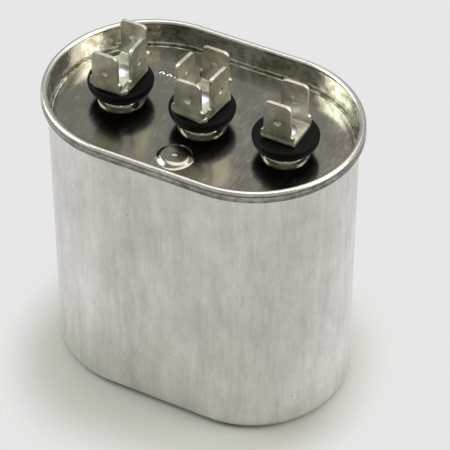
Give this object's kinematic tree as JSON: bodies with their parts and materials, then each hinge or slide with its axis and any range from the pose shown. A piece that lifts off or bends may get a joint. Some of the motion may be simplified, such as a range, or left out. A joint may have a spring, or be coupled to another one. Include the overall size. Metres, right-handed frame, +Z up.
{
  "type": "motor run capacitor",
  "caption": "Oval bare aluminium motor run capacitor with a double-seamed steel lid, black terminal insulators and upright quick-connect tabs.",
  "frame": {"origin": "centre of the flat base, on the surface it stands on", "axes": "+Z up, +X along the long axis of the oval towards the fan terminal, -Y towards the fill port"},
  "size_m": [0.0738, 0.0484, 0.0833],
  "materials": {
    "drawn_aluminium": "bare drawn aluminium, satin with fine draw lines",
    "tinplate": "bright tinplate, lightly scuffed",
    "plug_metal": "bright plated steel",
    "moulded_black": "moulded phenolic, smooth and half matt",
    "plated_brass": "tin-plated brass strip, stamped and bent",
    "rivet_steel": "tin-plated, bright",
    "seal_rubber": "matt rubber",
    "fibre_board": "phenolic laminate",
    "lead_strip": "tinned copper strip",
    "liner_plastic": "polypropylene sheet",
    "wound_film": "metallised polypropylene film, wound",
    "sprayed_zinc": "sprayed zinc, rough"
  },
  "bodies": {
    "root": {"can": "drawn_aluminium", "lid": "tinplate", "fill_plug": "plug_metal", "compressor_insulator": "moulded_black", "common_insulator": "moulded_black", "fan_insulator": "moulded_black", "compressor_wide_tabs": "plated_brass", "compressor_side_tab": "plated_brass", "common_wide_tabs": "plated_brass", "common_cross_tabs": "plated_brass", "fan_tabs": "plated_brass", "compressor_rivet": "rivet_steel", "common_rivet": "rivet_steel", "fan_rivet": "rivet_steel", "compressor_seal": "seal_rubber", "common_seal": "seal_rubber", "fan_seal": "seal_rubber", "compressor_washer": "fibre_board", "common_washer": "fibre_board", "fan_washer": "fibre_board", "compressor_lead": "lead_strip", "common_lead": "lead_strip", "fan_lead": "lead_strip", "liner": "liner_plastic", "bottom_insulator": "liner_plastic", "top_insulator": "fibre_board", "core_tube": "liner_plastic", "fan_winding": "wound_film", "section_barrier": "liner_plastic", "compressor_winding": "wound_film", "common_end_spray": "sprayed_zinc", "fan_end_spray": "sprayed_zinc", "compressor_end_spray": "sprayed_zinc"}
  },
  "joints": []
}
